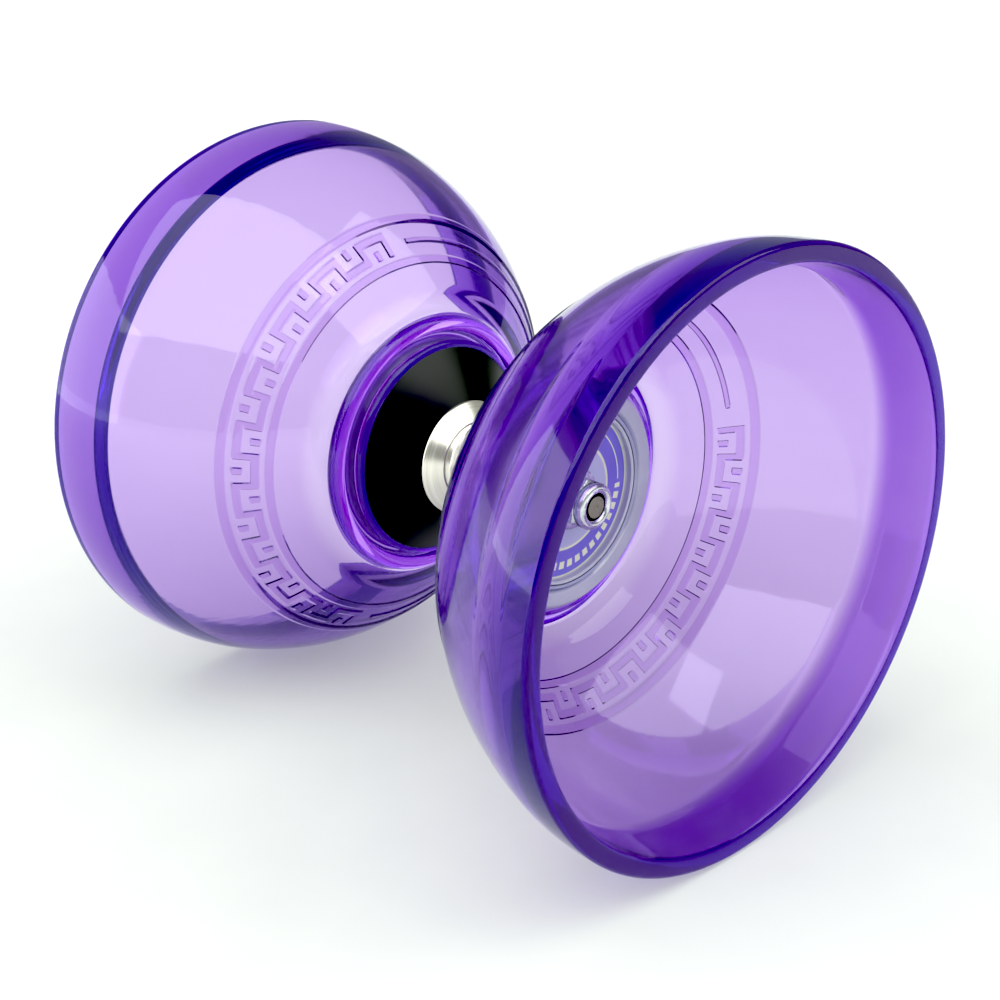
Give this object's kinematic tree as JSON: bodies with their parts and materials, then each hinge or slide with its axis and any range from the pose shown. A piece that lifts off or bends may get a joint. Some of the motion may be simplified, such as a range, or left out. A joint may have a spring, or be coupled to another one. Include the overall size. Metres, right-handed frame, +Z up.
{
  "type": "diabolo",
  "caption": "Translucent bearing diabolo: bowl cups bolted on a steel axle, with a freewheeling waisted steel sleeve between them for the string.",
  "frame": {"origin": "the middle of the axle, which is also the centre of the bounding box", "axes": "+X along the axle towards the right cup's mouth, +Z up; the toy lies on its two rims"},
  "size_m": [0.1416, 0.1246, 0.1246],
  "materials": {
    "cup_plastic": "glossy translucent purple flexible plastic",
    "hub_black": "smooth black, semi-gloss",
    "disc_smoke": "frosted translucent grey plastic",
    "polished_steel": "polished steel with fine turning lines",
    "zinc_steel": "bright zinc-plated steel",
    "bearing_steel": "ground bearing steel",
    "nylon": "satin black nylon"
  },
  "bodies": {
    "axle_and_cups": {"axle_rod": "zinc_steel", "right_cup": "cup_plastic", "right_hub": "hub_black", "right_inner_disc": "disc_smoke", "right_washer": "zinc_steel", "right_lock_nut": "zinc_steel", "right_nut_insert": "nylon", "right_bearing_inner_ring": "bearing_steel", "left_cup": "cup_plastic", "left_hub": "hub_black", "left_inner_disc": "disc_smoke", "left_washer": "zinc_steel", "left_lock_nut": "zinc_steel", "left_nut_insert": "nylon", "left_bearing_inner_ring": "bearing_steel", "clutch_inner_race": "bearing_steel"},
    "sleeve_assembly": {"string_sleeve": "polished_steel", "right_bearing_outer_ring": "bearing_steel", "right_inboard_shield": "bearing_steel", "right_outboard_shield": "bearing_steel", "left_bearing_outer_ring": "bearing_steel", "left_inboard_shield": "bearing_steel", "left_outboard_shield": "bearing_steel", "clutch_shell": "bearing_steel", "clutch_cage": "nylon", "clutch_roller_1": "bearing_steel", "clutch_roller_2": "bearing_steel", "clutch_roller_3": "bearing_steel", "clutch_roller_4": "bearing_steel", "clutch_roller_5": "bearing_steel", "clutch_roller_6": "bearing_steel"},
    "right_ball_set": {"right_bearing_cage": "nylon", "right_ball_1": "bearing_steel", "right_ball_2": "bearing_steel", "right_ball_3": "bearing_steel", "right_ball_4": "bearing_steel", "right_ball_5": "bearing_steel", "right_ball_6": "bearing_steel", "right_ball_7": "bearing_steel"},
    "left_ball_set": {"left_bearing_cage": "nylon", "left_ball_1": "bearing_steel", "left_ball_2": "bearing_steel", "left_ball_3": "bearing_steel", "left_ball_4": "bearing_steel", "left_ball_5": "bearing_steel", "left_ball_6": "bearing_steel", "left_ball_7": "bearing_steel"}
  },
  "joints": [
    {"name": "sleeve_spin", "type": "hinge", "parent": "axle_and_cups", "child": "sleeve_assembly", "pos_m": [0, 0, 0], "axis": [1, 0, 0], "continuous": true},
    {"name": "right_ball_orbit", "type": "hinge", "parent": "axle_and_cups", "child": "right_ball_set", "pos_m": [0.0093, 0, 0], "axis": [1, 0, 0], "continuous": true},
    {"name": "left_ball_orbit", "type": "hinge", "parent": "axle_and_cups", "child": "left_ball_set", "pos_m": [-0.0093, 0, 0], "axis": [1, 0, 0], "continuous": true}
  ],
  "couplings": [
    {"joint": "right_ball_orbit", "follows": "sleeve_spin", "ratio": 0.6461},
    {"joint": "left_ball_orbit", "follows": "sleeve_spin", "ratio": 0.6461}
  ]
}
